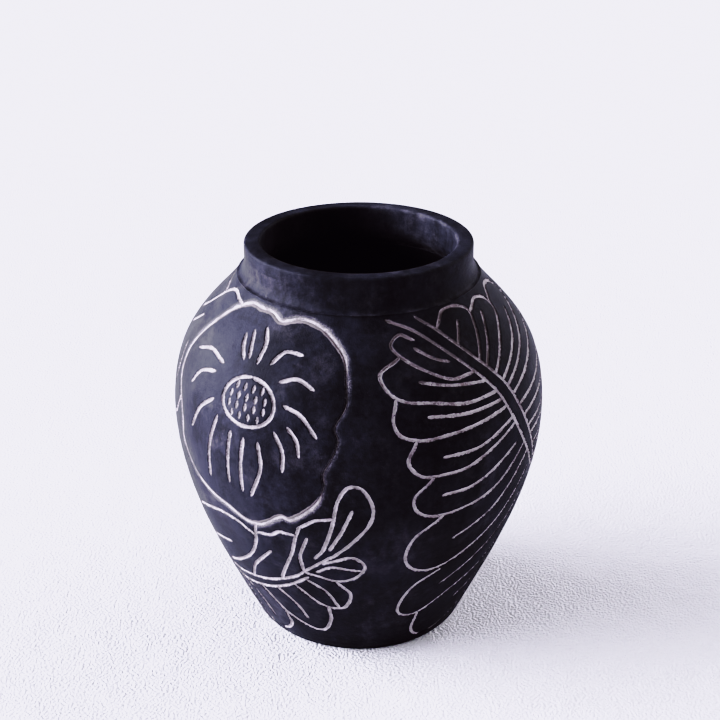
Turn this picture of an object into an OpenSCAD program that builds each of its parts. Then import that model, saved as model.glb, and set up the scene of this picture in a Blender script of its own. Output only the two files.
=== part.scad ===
// Hand-built black clay pot: rings of clay joined on slanted seams, a collar and a lip coil,
// and a flower, a leafy sprig and a fern carved into the wall with pale slip rubbed in the lines.
// Millimetres, +Z up. The origin is the centre of the foot. Turn angles are degrees round the
// pot from its front (-Y), growing towards +X.

/* [Body] */
// Radius of the foot
foot_r = 49.5; // [42:0.5:56]
// Largest radius, at the belly
belly_r = 85; // [70:1:104]
// Height of the belly above the foot
belly_z = 108; // [90:1:130]
// Height of the body, from the foot to the seam of the collar
body_h = 171; // [142:1:206]
// Radius of the body at the seam of the collar
seam_r = 54; // [52.5:0.5:60]
// Thickness of the wall
wall = 7; // [5.5:0.5:8.5]
// Thickness of the base slab
base_t = 9; // [7.5:0.5:11]
// Round at the outer edge of the foot
foot_edge = 1.5; // [0.5:0.1:2.5]

/* [Curve of the wall] */
// Lean of the wall at the foot, from upright
foot_lean = 25; // [18:1:30]
// Length of the curve's handle at the foot
foot_pull = 43; // [36:1:50]
// Length of the handle under the belly
under_belly_pull = 33; // [28:1:40]
// Length of the handle over the belly
over_belly_pull = 38; // [30:1:44]
// Slope of the shoulder at the seam, from level
shoulder_slope = 52; // [45:1:60]
// Length of the handle at the seam
shoulder_pull = 21; // [17:1:25]

/* [Collar] */
// Height of the collar, from its seam to the top of the lip
collar_h = 15; // [12.5:0.5:20]
// Outer radius of the collar
collar_r = 51; // [49:0.5:52]
// Radius of the mouth
mouth_r = 43.5; // [36:0.5:44.5]
// Height of the hollow curve where the collar meets the shoulder
cove_h = 6.5; // [4:0.5:8]
// Height of the last coil, which makes the lip
lip_h = 5.5; // [4:0.5:7]
// Round on the edges of the lip
lip_edge = 1.2; // [0.5:0.1:2]

/* [Joints] */
// Height of the seam between the lower wall and the belly wall
low_joint_z = 63; // [55:1:70]
// Height of the seam between the belly wall and the shoulder wall
high_joint_z = 118; // [112:1:125]
// How far a seam rises from the outside of the wall to the inside
joint_rise = 4; // [2:0.5:6]
// Radius of the coil pressed into the inner corner of the base
foot_coil_r = 6; // [4:0.5:6.5]

/* [Carving] */
// Depth of a carved line
cut_depth = 1.2; // [0.8:0.1:2]
// How far the slip lies below the surface
slip_recess = 0.3; // [0.1:0.05:0.4]
// Clearance between the slip and the sides of its groove
slip_gap = 0.05; // [0.02:0.01:0.1]
// Width of the flower's outline
outline_w = 2.6; // [1.5:0.1:3.5]
// Width of the short marks on the petals
petal_w = 1.9; // [1.2:0.1:2.5]
// Width of the stem's and the fern rib's lines
rib_w = 1.7; // [1.2:0.1:2.5]
// Width of the leaves' lines
leaf_w = 1.5; // [1:0.1:2.2]
// Width of a seed in the flower's centre
seed_w = 1.5; // [1:0.1:1.9]
// Turn from the front flower to the flower on the back
back_turn = 186; // [180:1:190]

/* [Hidden] */
$fn = 96;
CLAY = [0.12, 0.12, 0.15];
DARK_CLAY = [0.08, 0.08, 0.1];
SLIP = [0.78, 0.73, 0.7];
wall_steps = 6;
ring_sides = 60;
lip_z = body_h + collar_h - lip_h;
slab_side_h = base_t - joint_rise;
beyond = 200;

// ---- the wall's profile: one curve from foot to belly, one from belly to seam ----

function bezier(a, b, c, d, t) =
    pow(1 - t, 3) * a + 3 * pow(1 - t, 2) * t * b + 3 * (1 - t) * t * t * c + pow(t, 3) * d;

foot_p = [foot_r, 0];
belly_p = [belly_r, belly_z];
seam_p = [seam_r, body_h];
foot_handle = foot_p + foot_pull * [sin(foot_lean), cos(foot_lean)];
seam_handle = seam_p + shoulder_pull * [cos(shoulder_slope), -sin(shoulder_slope)];

function lower_curve(t) = bezier(foot_p, foot_handle, belly_p - [0, under_belly_pull], belly_p, t);
function upper_curve(t) = bezier(belly_p, belly_p + [0, over_belly_pull], seam_handle, seam_p, t);
function wall_curve(u) = u < 1 ? lower_curve(u) : upper_curve(u - 1);
function wall_normal(u) =
    let (step = 0.001,
         along = wall_curve(min(2, u + step)) - wall_curve(max(0, u - step)))
    [along[1], -along[0]] / norm(along);

wall_us = [for (i = [0:2 * wall_steps]) i / wall_steps];
outer_pts = [for (u = wall_us) wall_curve(u)];
inner_pts = [for (u = wall_us) wall_curve(u) - wall * wall_normal(u)];
outer_table = [for (p = outer_pts) [p[1], p[0]]];
inner_table = [for (p = inner_pts) [p[1], p[0]]];
function outer_r(z) = lookup(z, outer_table);
function inner_r(z) = lookup(z, inner_table);
seam_inner_p = inner_pts[2 * wall_steps];

// The line of a seam: level inside the pot, slanted through the wall, level outside it
function joint_line(z) = [[0, z + joint_rise], [outer_r(z) - wall, z + joint_rise],
                          [outer_r(z), z], [beyond, z]];
function backwards(list) = [for (i = [len(list) - 1:-1:0]) list[i]];

module wall_section() polygon(concat(outer_pts, backwards(inner_pts)));
module slab_section()
    polygon([[0, 0], [foot_r - foot_edge, 0], [outer_r(foot_edge), foot_edge],
             [outer_r(slab_side_h), slab_side_h], [outer_r(slab_side_h) - wall, base_t], [0, base_t]]);
module ring_section(low_z, high_z) intersection() {
    wall_section();
    polygon(concat(joint_line(low_z), backwards(joint_line(high_z))));
}

// ---- the carving, as strokes of [turn, height] points drawn on a body whose belly is
// 108 high and whose seam is 171 high, and stretched to this body's own heights ----

drawn_belly_z = 108;
drawn_seam_z = 171;
function to_body_z(z) = z < drawn_belly_z ? z * belly_z / drawn_belly_z :
    belly_z + (z - drawn_belly_z) * (body_h - belly_z) / (drawn_seam_z - drawn_belly_z);

flower_mid = [-35.5, 136.7];
flower_centre_size = [9.6, 9.5];
flower_outline = [[-74, 138], [-73, 146], [-68, 157], [-62, 164], [-54, 168], [-47, 168], [-40, 168],
    [-34, 166], [-24, 168], [-15, 166], [-9, 162], [-5, 157], [-4, 149], [-4, 141], [-7, 133],
    [-6, 127], [-8, 119], [-10, 113], [-10, 106], [-13, 97], [-20, 88], [-24, 88], [-31, 81],
    [-37, 80], [-44, 84], [-51, 86], [-58, 90], [-63, 96], [-67, 104], [-67, 113], [-69, 121],
    [-73, 131]];
petal_marks = [
    [[-47, 159], [-45, 155], [-42, 151]],
    [[-44, 161], [-42, 157], [-40, 152]],
    [[-39, 163], [-36, 158], [-36, 151]],
    [[-31, 152], [-27, 157], [-20, 157]],
    [[-26, 147], [-20, 149], [-14, 146]],
    [[-23, 139], [-17, 136], [-12, 128]],
    [[-21, 131], [-18, 126], [-17, 119]],
    [[-25, 128], [-22, 120], [-22, 111]],
    [[-30, 122], [-29, 110], [-33, 95]],
    [[-35, 122], [-36, 109], [-36, 96]],
    [[-40, 123], [-41, 110], [-41, 98]],
    [[-46, 127], [-49, 112], [-50, 96]],
    [[-49, 133], [-55, 126], [-59, 115]],
    [[-52, 143], [-59, 140], [-63, 133]],
    [[-67, 146], [-59, 149], [-50, 147]]];
flower_centre_ring = [for (a = [96:22:448])
    [flower_mid[0] + flower_centre_size[0] * cos(a), flower_mid[1] + flower_centre_size[1] * sin(a)]];
seed_rows = [[5.6, 4], [1.9, 5], [-1.9, 5], [-5.6, 4]];
seed_pitch = 3.2;
seed_length = 2.6;
seeds = [for (row = seed_rows, i = [0:row[1] - 1])
    let (turn = flower_mid[0] + seed_pitch * (i - (row[1] - 1) / 2), z = flower_mid[1] + row[0])
    [[turn, z - seed_length / 2], [turn, z], [turn, z + seed_length / 2]]];

sprig_stem = [
    [[-64, 39], [-54, 39], [-45, 41], [-34, 45], [-23, 52], [-17, 59], [-11, 66]],
    [[-62, 36], [-54, 34], [-44, 36], [-34, 40], [-25, 46], [-18, 53]]];
sprig_leaves = [
    [[-67, 69], [-60, 73], [-50, 77], [-42, 77], [-37, 74]],
    [[-34, 76], [-35, 69], [-38, 61], [-43, 54], [-51, 47], [-58, 43]],
    [[-69, 51], [-58, 56], [-50, 59]],
    [[-32, 75], [-28, 76], [-25, 79], [-21, 79]],
    [[-18, 84], [-20, 76], [-22, 67], [-27, 53]],
    [[-30, 65], [-35, 58], [-40, 51], [-43, 44]],
    [[-16, 86], [-13, 89], [-10, 90]],
    [[-16, 78], [-19, 67], [-19, 61]],
    [[-14, 67], [-11, 73], [-8, 86], [-6, 100], [-3, 107], [1, 106], [4, 97], [3, 88], [-2, 78], [-8, 69]],
    [[-2, 95], [-5, 84], [-9, 73]],
    [[-8, 66], [-2, 69], [2, 63], [-1, 56], [-7, 53], [-14, 55]],
    [[-3, 61], [-9, 62], [-14, 58]],
    [[-7, 51], [-3, 44], [-5, 35], [-10, 33], [-16, 36], [-23, 45]],
    [[-17, 50], [-12, 45], [-9, 37]],
    [[-12, 30], [-12, 24], [-15, 16], [-20, 14], [-27, 17], [-34, 23], [-40, 33]],
    [[-31, 38], [-26, 31], [-23, 22]],
    [[-34, 18], [-34, 13], [-39, 7], [-48, 5], [-54, 9], [-56, 20], [-56, 31]],
    [[-51, 31], [-47, 23], [-45, 13]]];
side_leaf = [
    [[-93, 152], [-87, 157], [-79, 165], [-72, 168], [-65, 167]],
    [[-90, 146], [-82, 153]],
    [[-93, 169], [-84, 166]],
    [[-80, 108], [-75, 112], [-72, 118]],
    [[-80, 122], [-78, 132], [-79, 142]]];

fern_rib = [
    [[12, 169], [22, 165], [31, 158], [40, 148], [47, 137], [52, 124], [59, 107], [69, 88]],
    [[25, 169], [33, 163], [42, 153], [51, 140], [57, 125], [63, 109], [70, 92]]];
fern_left_leaflets = [
    [[21, 162], [16, 164], [12, 161], [15, 157], [22, 152], [31, 147], [38, 147]],
    [[21, 159], [27, 155], [32, 153]],
    [[13, 156], [7, 152], [9, 146], [14, 142], [23, 140], [34, 137], [44, 137]],
    [[20, 148], [30, 145], [41, 143]],
    [[11, 141], [10, 135], [12, 129], [18, 126], [24, 126], [35, 127], [48, 129]],
    [[21, 135], [34, 133], [46, 133]],
    [[16, 124], [14, 117], [18, 110], [25, 109], [34, 110], [51, 119]],
    [[25, 117], [37, 117], [49, 122]],
    [[20, 106], [16, 100], [17, 93], [22, 89], [30, 89], [43, 93], [57, 106]],
    [[25, 99], [36, 100], [53, 110]],
    [[24, 86], [17, 78], [15, 66], [19, 58], [27, 56], [37, 61], [50, 72], [64, 91]],
    [[31, 73], [45, 82], [60, 100]],
    [[29, 54], [20, 46], [16, 33], [18, 26], [26, 25], [39, 35], [54, 45], [64, 56], [69, 70], [71, 82]],
    [[32, 43], [45, 53], [58, 66], [67, 84]],
    [[26, 22], [26, 12], [31, 6], [41, 6], [51, 11], [60, 22], [67, 38], [70, 52]],
    [[46, 26], [57, 34], [65, 47]]];
fern_right_leaflets = [
    [[34, 165], [39, 169], [47, 169], [53, 166], [51, 160], [46, 152]],
    [[44, 164], [41, 160]],
    [[56, 166], [62, 168], [69, 166], [70, 161], [61, 154], [51, 145]],
    [[60, 163], [54, 156], [48, 149]],
    [[73, 165], [79, 168], [89, 166], [92, 160], [83, 154], [73, 148], [55, 138]],
    [[79, 158], [69, 151], [53, 141]],
    [[94, 159], [103, 158], [109, 151], [103, 144], [89, 137], [74, 131], [59, 127]],
    [[96, 151], [80, 144], [58, 134]],
    [[104, 142], [110, 134], [106, 127], [95, 121], [80, 116], [64, 114]],
    [[97, 132], [84, 126], [62, 121]],
    [[103, 122], [109, 116], [104, 109], [92, 105], [69, 102]],
    [[96, 115], [82, 111], [66, 109]],
    [[101, 105], [104, 98], [96, 91], [82, 89], [72, 92]],
    [[93, 99], [72, 99]]];

back_fern_start = 184;
back_fern_squeeze = 0.72;
function on_back(strokes) = [for (s = strokes) [for (p = s) [p[0] + back_turn, p[1]]]];
function on_back_fern(strokes) =
    [for (s = strokes) [for (p = s) [back_fern_start + back_fern_squeeze * p[0], p[1]]]];

// Every motif as [strokes, width], closed outlines last
open_motifs = [
    [petal_marks, petal_w], [[flower_centre_ring], leaf_w], [seeds, seed_w],
    [sprig_stem, rib_w], [sprig_leaves, leaf_w], [side_leaf, leaf_w],
    [fern_rib, rib_w], [fern_left_leaflets, leaf_w], [fern_right_leaflets, leaf_w],
    [on_back(petal_marks), petal_w], [on_back([flower_centre_ring]), leaf_w], [on_back(seeds), seed_w],
    [on_back(sprig_stem), rib_w], [on_back(sprig_leaves), leaf_w],
    [on_back_fern(fern_rib), rib_w], [on_back_fern(fern_left_leaflets), leaf_w],
    [on_back_fern(fern_right_leaflets), leaf_w]];
closed_motifs = [[[flower_outline], outline_w], [on_back([flower_outline]), outline_w]];

// ---- a carved line: a V-shaped bar swept along a smooth curve on the wall ----

proud = 0.4;
end_taper = 0.4;
most_turn = 9;
function blend(a, b, c, d, t) = 0.5 * (2 * b + (c - a) * t + (2 * a - 5 * b + 4 * c - d) * t * t
                                       + (3 * b - a - 3 * c + d) * t * t * t);
function at_open(p, i) = i < 0 ? 2 * p[0] - p[1] :
    i > len(p) - 1 ? 2 * p[len(p) - 1] - p[len(p) - 2] : p[i];
// A stroke gets more points where it turns round the pot, so that it stays in the surface, and
// a short bent one gets a point more between each two
function steps_after(p, i) =
    max(ceil(abs(p[i + 1][0] - p[i][0]) / most_turn), len(p) < 5 && p[0][0] != p[1][0] ? 2 : 1);
function smooth_open(p) =
    concat([for (i = [0:len(p) - 2]) let (n = steps_after(p, i)) for (j = [0:n - 1])
        blend(at_open(p, i - 1), p[i], p[i + 1], at_open(p, i + 2), j / n)], [p[len(p) - 1]]);

// A point at the turn and height q, standing h out from the wall
function on_wall(q, h) =
    let (z = to_body_z(q[1]),
         reach = 0.5,
         lean = (outer_r(z + reach) - outer_r(z - reach)) / (2 * reach),
         out = [1, -lean] / norm([1, lean]),
         r = outer_r(z) + h * out[0])
    [r * sin(q[0]), -r * cos(q[0]), z + h * out[1]];

function line_rings(p, width, depth, top, closed) =
    let (n = len(p),
         mid = [for (q = p) on_wall(q, 0)],
         out = [for (q = p) on_wall(q, 1) - on_wall(q, 0)],
         ahead = [for (i = [0:n - 1]) closed ? mid[(i + 1) % n] : mid[min(i + 1, n - 1)]],
         behind = [for (i = [0:n - 1]) closed ? mid[(i + n - 1) % n] : mid[max(i - 1, 0)]])
    [for (i = [0:n - 1])
        let (along = (ahead[i] - behind[i]) / norm(ahead[i] - behind[i]),
             side = cross(along, out[i]),
             full = closed ? 1 : end_taper + (1 - end_taper) * min(1, min(i, n - 1 - i) / 1.5),
             half = full * width / 2 * (1 + top / depth))
        each [mid[i] + out[i] * top + side * half, mid[i] - out[i] * depth * full,
              mid[i] + out[i] * top - side * half]];

module swept_line(p, width, depth, top, closed = false) {
    n = len(p);
    rings = closed ? n : n - 1;
    ends = closed ? [] : [[0, 1, 2], [3 * n - 1, 3 * n - 2, 3 * n - 3]];
    sides = [for (i = [0:rings - 1], j = [0:2])
        let (a = 3 * i + j, b = 3 * i + (j + 1) % 3, a2 = (a + 3) % (3 * n), b2 = (b + 3) % (3 * n))
        each [[a, a2, b2], [a, b2, b]]];
    polyhedron(line_rings(p, width, depth, top, closed), concat(ends, sides));
}

function reaches(p, low_z, high_z) =
    max([for (q = p) to_body_z(q[1])]) > low_z - 2 && min([for (q = p) to_body_z(q[1])]) < high_z + 2;

module grooves(low_z, high_z) {
    for (m = open_motifs, s = m[0])
        if (reaches(s, low_z, high_z)) swept_line(smooth_open(s), m[1], cut_depth, proud);
    for (m = closed_motifs, s = m[0])
        if (reaches(s, low_z, high_z)) swept_line(s, m[1], cut_depth, proud, true);
}
module slip_lines(strokes, width)
    for (s = strokes)
        swept_line(smooth_open(s), width - 2 * slip_gap, cut_depth - slip_gap, -slip_recess);
module slip_loop(points)
    swept_line(points, outline_w - 2 * slip_gap, cut_depth - slip_gap, -slip_recess, true);

// ---- the pieces of clay ----

// A carved ring is a shell with no bore in it, so it is a mesh: resize() by nothing merges the
// ring and its cuts into one, and keeps it closed where the carved lines cross its corners
module clay_ring(low_z, high_z) resize([0, 0, 0]) difference() {
    rotate_extrude($fn = ring_sides) ring_section(low_z, high_z);
    grooves(low_z, high_z);
}
// Long lines run down onto the side of the slab when the slab is thick
module base_slab() color(DARK_CLAY) difference() {
    rotate_extrude() slab_section();
    grooves(0, slab_side_h - 2);
}
module foot_coil() color(DARK_CLAY) rotate_extrude() difference() {
    translate([inner_r(base_t), base_t]) circle(r = foot_coil_r);
    wall_section();
    slab_section();
}
module lower_wall() color(CLAY) clay_ring(slab_side_h, low_joint_z);
module belly_wall() color(CLAY) clay_ring(low_joint_z, high_joint_z);
module shoulder_wall() color(CLAY) clay_ring(high_joint_z, body_h + joint_rise);

cove_steps = 4;
cove = [for (i = [0:cove_steps])
    let (t = i / cove_steps, bend = [collar_r + 0.3, body_h + cove_h * 0.25], top = [collar_r, body_h + cove_h])
    pow(1 - t, 2) * seam_p + 2 * (1 - t) * t * bend + t * t * top];
collar_top_z = body_h + collar_h;
mouth_flare_z = seam_inner_p[1] + (seam_inner_p[0] - mouth_r);
module collar_section() polygon(concat(cove,
    [[collar_r, collar_top_z], [mouth_r, collar_top_z], [mouth_r, mouth_flare_z], seam_inner_p]));
module lip_seam_area() polygon([[0, lip_z + joint_rise / 2], [mouth_r, lip_z + joint_rise / 2],
    [collar_r, lip_z], [beyond, lip_z], [beyond, collar_top_z + 1], [0, collar_top_z + 1]]);
module lip_corner(r, side) difference() {
    translate([r - (side > 0 ? lip_edge : 1), collar_top_z - lip_edge])
        square([lip_edge + 1, lip_edge + 1]);
    translate([r - side * lip_edge, collar_top_z - lip_edge]) circle(r = lip_edge);
}
module neck_collar() color(CLAY) rotate_extrude() difference() {
    collar_section();
    lip_seam_area();
}
module lip_coil() color(DARK_CLAY) rotate_extrude() difference() {
    intersection() {
        collar_section();
        lip_seam_area();
    }
    lip_corner(collar_r, 1);
    lip_corner(mouth_r, -1);
}

// ---- the slip in the carved lines ----

module flower_outline_slip() color(SLIP) slip_loop(flower_outline);
module flower_petal_slip() color(SLIP) slip_lines(petal_marks, petal_w);
module flower_centre_slip() color(SLIP) slip_lines([flower_centre_ring], leaf_w);
module flower_seed_slip() color(SLIP) slip_lines(seeds, seed_w);
module sprig_stem_slip() color(SLIP) slip_lines(sprig_stem, rib_w);
module sprig_leaf_slip() color(SLIP) slip_lines(sprig_leaves, leaf_w);
module side_leaf_slip() color(SLIP) slip_lines(side_leaf, leaf_w);
module fern_rib_slip() color(SLIP) slip_lines(fern_rib, rib_w);
module fern_left_leaflet_slip() color(SLIP) slip_lines(fern_left_leaflets, leaf_w);
module fern_right_leaflet_slip() color(SLIP) slip_lines(fern_right_leaflets, leaf_w);
module back_flower_outline_slip() color(SLIP) slip_loop(on_back([flower_outline])[0]);
module back_flower_petal_slip() color(SLIP) slip_lines(on_back(petal_marks), petal_w);
module back_flower_centre_slip() color(SLIP) slip_lines(on_back([flower_centre_ring]), leaf_w);
module back_flower_seed_slip() color(SLIP) slip_lines(on_back(seeds), seed_w);
module back_sprig_stem_slip() color(SLIP) slip_lines(on_back(sprig_stem), rib_w);
module back_sprig_leaf_slip() color(SLIP) slip_lines(on_back(sprig_leaves), leaf_w);
module back_fern_rib_slip() color(SLIP) slip_lines(on_back_fern(fern_rib), rib_w);
module back_fern_left_leaflet_slip() color(SLIP) slip_lines(on_back_fern(fern_left_leaflets), leaf_w);
module back_fern_right_leaflet_slip() color(SLIP) slip_lines(on_back_fern(fern_right_leaflets), leaf_w);

base_slab();
foot_coil();
lower_wall();
belly_wall();
shoulder_wall();
neck_collar();
lip_coil();
flower_outline_slip();
flower_petal_slip();
flower_centre_slip();
flower_seed_slip();
sprig_stem_slip();
sprig_leaf_slip();
side_leaf_slip();
fern_rib_slip();
fern_left_leaflet_slip();
fern_right_leaflet_slip();
back_flower_outline_slip();
back_flower_petal_slip();
back_flower_centre_slip();
back_flower_seed_slip();
back_sprig_stem_slip();
back_sprig_leaf_slip();
back_fern_rib_slip();
back_fern_left_leaflet_slip();
back_fern_right_leaflet_slip();
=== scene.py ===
# %% [markdown]
# # A carved black clay pot
# The pot is built by hand from rings of dark clay, rubbed smooth, carved with a flower, a sprig
# and a fern, and fired in smoke until it is black. Pale slip is rubbed into the carved lines.
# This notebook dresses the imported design: it rebuilds the clay with its carving and its small
# unevenness, lays the slip in the lines, and gives both their finish.

# %% Load the fixed frame
from bisect import bisect_left
from math import atan2, cos, exp, hypot, pi, radians, sin, tau

import bmesh
import bpy
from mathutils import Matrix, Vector, noise
from mathutils.kdtree import KDTree


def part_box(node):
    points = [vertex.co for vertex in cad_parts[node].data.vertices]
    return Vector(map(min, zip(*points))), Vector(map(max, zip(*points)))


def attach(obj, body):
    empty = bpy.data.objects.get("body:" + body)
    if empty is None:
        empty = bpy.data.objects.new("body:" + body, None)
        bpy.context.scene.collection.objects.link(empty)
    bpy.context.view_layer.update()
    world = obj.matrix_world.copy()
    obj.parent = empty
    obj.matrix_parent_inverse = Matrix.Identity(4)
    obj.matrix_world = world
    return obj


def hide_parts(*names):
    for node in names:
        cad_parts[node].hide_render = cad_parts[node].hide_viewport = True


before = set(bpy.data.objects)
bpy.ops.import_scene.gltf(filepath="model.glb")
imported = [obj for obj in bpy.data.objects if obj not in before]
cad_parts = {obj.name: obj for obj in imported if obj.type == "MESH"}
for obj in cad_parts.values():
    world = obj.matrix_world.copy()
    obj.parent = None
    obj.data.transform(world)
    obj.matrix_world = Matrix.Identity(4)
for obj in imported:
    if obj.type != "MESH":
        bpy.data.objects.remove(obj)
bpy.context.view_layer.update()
MM = 0.001

# %% [markdown]
# ## The camera
# The pot is looked at from a little above, from close by, with a short telephoto lens. A camera
# could be tracked to a target object, but placing it on a circle round the pot's axis with a
# known tilt keeps the view repeatable.

# %% Place the camera
camera_tilt = radians(24.65)
camera_distance = 0.6375
aim_height = 0.1262
camera_data = bpy.data.cameras.new("camera")
camera_data.lens = 69.1
camera_data.sensor_width = 36.0
camera_data.shift_x = 0.0017
camera = bpy.data.objects.new("camera", camera_data)
camera.location = (0, -camera_distance * cos(camera_tilt),
                   aim_height + camera_distance * sin(camera_tilt))
camera.rotation_euler = (pi / 2 - camera_tilt, 0, 0)
bpy.context.collection.objects.link(camera)
bpy.context.scene.camera = camera
print("camera at", tuple(round(v, 3) for v in camera.location))

# %% [markdown]
# ## Node helpers
# A material is a small graph of nodes. These helpers add a node, set its inputs by name and
# link its output, so that each finish below reads as a short list of steps.


# %% Small helpers for node graphs
def new_material(name):
    material = bpy.data.materials.new(name)
    material.use_nodes = True
    tree = material.node_tree
    shader = tree.nodes["Principled BSDF"]
    return material, tree, shader


def node(tree, kind, settings=None, **inputs):
    made = tree.nodes.new(kind)
    for name, value in (settings or {}).items():
        setattr(made, name, value)
    for name, value in inputs.items():
        socket = made.inputs[int(name[1:]) if name[0] == "i" and name[1:].isdigit() else name]
        if isinstance(value, bpy.types.NodeSocket):
            tree.links.new(value, socket)
        else:
            socket.default_value = value
    return made


def object_space(tree):
    return node(tree, "ShaderNodeTexCoord").outputs["Object"]


def stretched(tree, vector, scale):
    return node(tree, "ShaderNodeMapping", i0=vector, i3=scale).outputs["Vector"]


def noise_value(tree, vector, scale, detail=2.0, roughness=0.5):
    made = node(tree, "ShaderNodeTexNoise", Vector=vector, Scale=scale, Detail=detail,
                Roughness=roughness)
    return made.outputs["Fac"]


def remap(tree, value, low, high, to_low=0.0, to_high=1.0):
    made = node(tree, "ShaderNodeMapRange", {"interpolation_type": "SMOOTHSTEP"}, i0=value,
                i1=low, i2=high, i3=to_low, i4=to_high)
    return made.outputs["Result"]


def math_of(tree, operation, first, second=0.0):
    return node(tree, "ShaderNodeMath", {"operation": operation}, i0=first, i1=second).outputs[0]


def mix_colours(tree, factor, first, second):
    made = node(tree, "ShaderNodeMix", {"data_type": "RGBA"}, i0=factor, i6=first, i7=second)
    return made.outputs[2]


def attribute(tree, name):
    return node(tree, "ShaderNodeAttribute", {"attribute_name": name}).outputs["Fac"]


def bump(tree, height, strength, distance, normal=None):
    made = node(tree, "ShaderNodeBump", Height=height, Strength=strength, Distance=distance)
    if normal is not None:
        tree.links.new(normal, made.inputs["Normal"])
    return made.outputs["Normal"]


# %% [markdown]
# ## The stage
# A white plaster floor, lit so hard that it nearly burns out, as in a bright studio by a window.
# The window light comes low from the left and rakes over the grain of the plaster. A weaker
# light comes back from the right. Both are sun lamps with a wide disc, which light the whole
# floor alike, where an area lamp close by would leave a bright patch.

# %% The floor
scene = bpy.context.scene

plaster, tree, shader = new_material("white_plaster")
place = object_space(tree)
grain = noise_value(tree, place, 760.0, 1.0, 0.5)
trowel = noise_value(tree, place, 60.0, 2.0)
shader.inputs["Base Color"].default_value = (0.80, 0.79, 0.82, 1)
shader.inputs["Roughness"].default_value = 0.9
shader.inputs["Specular IOR Level"].default_value = 0.1
rough = bump(tree, math_of(tree, "ADD", grain, trowel), 0.8, 0.0022)
tree.links.new(rough, shader.inputs["Normal"])

floor_mesh = bmesh.new()
bmesh.ops.create_grid(floor_mesh, x_segments=1, y_segments=1, size=6.0)
floor_data = bpy.data.meshes.new("floor")
floor_mesh.to_mesh(floor_data)
floor_mesh.free()
floor_data.materials.append(plaster)
floor = bpy.data.objects.new("floor", floor_data)
bpy.context.collection.objects.link(floor)
print("floor", tuple(round(v, 1) for v in floor.dimensions))


# %% The lights
def sun(name, turn, height, strength, disc, colour):
    """A sun lamp seen from the pot at a turn from the front and a height over the floor."""
    data = bpy.data.lights.new(name, "SUN")
    data.energy = strength
    data.angle = radians(disc)
    data.color = colour
    lamp = bpy.data.objects.new(name, data)
    towards = Vector((sin(radians(turn)) * cos(radians(height)),
                      -cos(radians(turn)) * cos(radians(height)), sin(radians(height))))
    lamp.rotation_euler = towards.to_track_quat("Z", "Y").to_euler()
    bpy.context.collection.objects.link(lamp)
    return lamp


window_light = sun("window_light", -92, 16, 9.9, 62, (0.97, 0.975, 1.10))
return_light = sun("return_light", 114, 21, 2.2, 70, (1.0, 0.98, 1.05))
ceiling_light = sun("ceiling_light", 176, 66, 0.5, 60, (1.0, 0.99, 1.05))
world = bpy.data.worlds.new("soft_sky")
scene.world = world
world.use_nodes = True
sky = world.node_tree.nodes["Background"]
sky.inputs["Color"].default_value = (0.9, 0.93, 1.0, 1)
sky.inputs["Strength"].default_value = 0.02
print("lights", window_light.name, return_light.name, ceiling_light.name, world.name)

# %% [markdown]
# ## The film
# The picture is printed hard: the darks are pulled down and the whites roll off below paper
# white. A tone curve on the picture does this for everything at once, so the clay and the
# plaster keep natural values. The green and the blue are held back in the darks, and the red and
# the green at the white end, so the darks are neutral and the paper is a cool white.

# %% The tone curves
film_curve = [(0.0, 0.0), (0.00625, 0.0022), (0.0125, 0.0050), (0.025, 0.0145), (0.05, 0.064),
              (0.1, 0.25), (0.175, 0.40), (0.25, 0.54), (0.35, 0.68), (0.5, 0.80), (0.75, 0.88),
              (1.0, 0.905)]
white_end = (0.963, 0.953, 1.0)
dark_hold = ((0.0, 1.0), (0.42, 0.011), (0.50, 0.018))
black_floor = (0.0012, 0.0006, 0.0014)
view = scene.view_settings
view.view_transform = "Standard"
view.use_curve_mapping = True
curves = view.curve_mapping.curves
for curve_of, white, (hold, fade), black in zip(curves, white_end, dark_hold, black_floor):
    levels = [(x, black + y * (white - black) * (1 - hold * exp(-x / fade))) for x, y in film_curve]
    curve_of.points[0].location = levels[0]
    curve_of.points[1].location = levels[-1]
    for level in levels[1:-1]:
        curve_of.points.new(*level)
view.curve_mapping.update()
print("tone curves with", len(film_curve), "points")

# %% [markdown]
# ## The curve of the wall
# The wall rises from the foot to the belly on one smooth curve and goes on to the collar's seam
# on another. Each is a Bezier curve with the design's own handles. The end points are read from
# the frame, so the skin lands on the solids that it stands for.

# %% The wall's profile, in metres
foot_r = 49.5 * MM
belly_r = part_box("belly_wall")[1].x
belly_z = 108 * MM
body_h = 171 * MM
seam_r = 54 * MM
wall = 7 * MM
base_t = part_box("base_slab")[1].z
low_joint_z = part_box("belly_wall")[0].z
high_joint_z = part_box("shoulder_wall")[0].z
joint_rise = 4 * MM
foot_edge = 1.5 * MM
foot_lean = radians(25)
shoulder_slope = radians(52)
foot_pull = 43 * MM
under_belly_pull = 33 * MM
over_belly_pull = 38 * MM
shoulder_pull = 21 * MM


def bezier(points, t):
    a, b, c, d = (Vector(p) for p in points)
    s = 1 - t
    return s * s * s * a + 3 * s * s * t * b + 3 * s * t * t * c + t * t * t * d


lower_handles = [(foot_r, 0),
                 (foot_r + foot_pull * sin(foot_lean), foot_pull * cos(foot_lean)),
                 (belly_r, belly_z - under_belly_pull), (belly_r, belly_z)]
upper_handles = [(belly_r, belly_z), (belly_r, belly_z + over_belly_pull),
                 (seam_r + shoulder_pull * cos(shoulder_slope),
                  body_h - shoulder_pull * sin(shoulder_slope)), (seam_r, body_h)]
curve_steps = 240
curve = [bezier(lower_handles, i / curve_steps) for i in range(curve_steps)]
curve += [bezier(upper_handles, i / curve_steps) for i in range(curve_steps + 1)]
curve_z = [p.y for p in curve]


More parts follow.
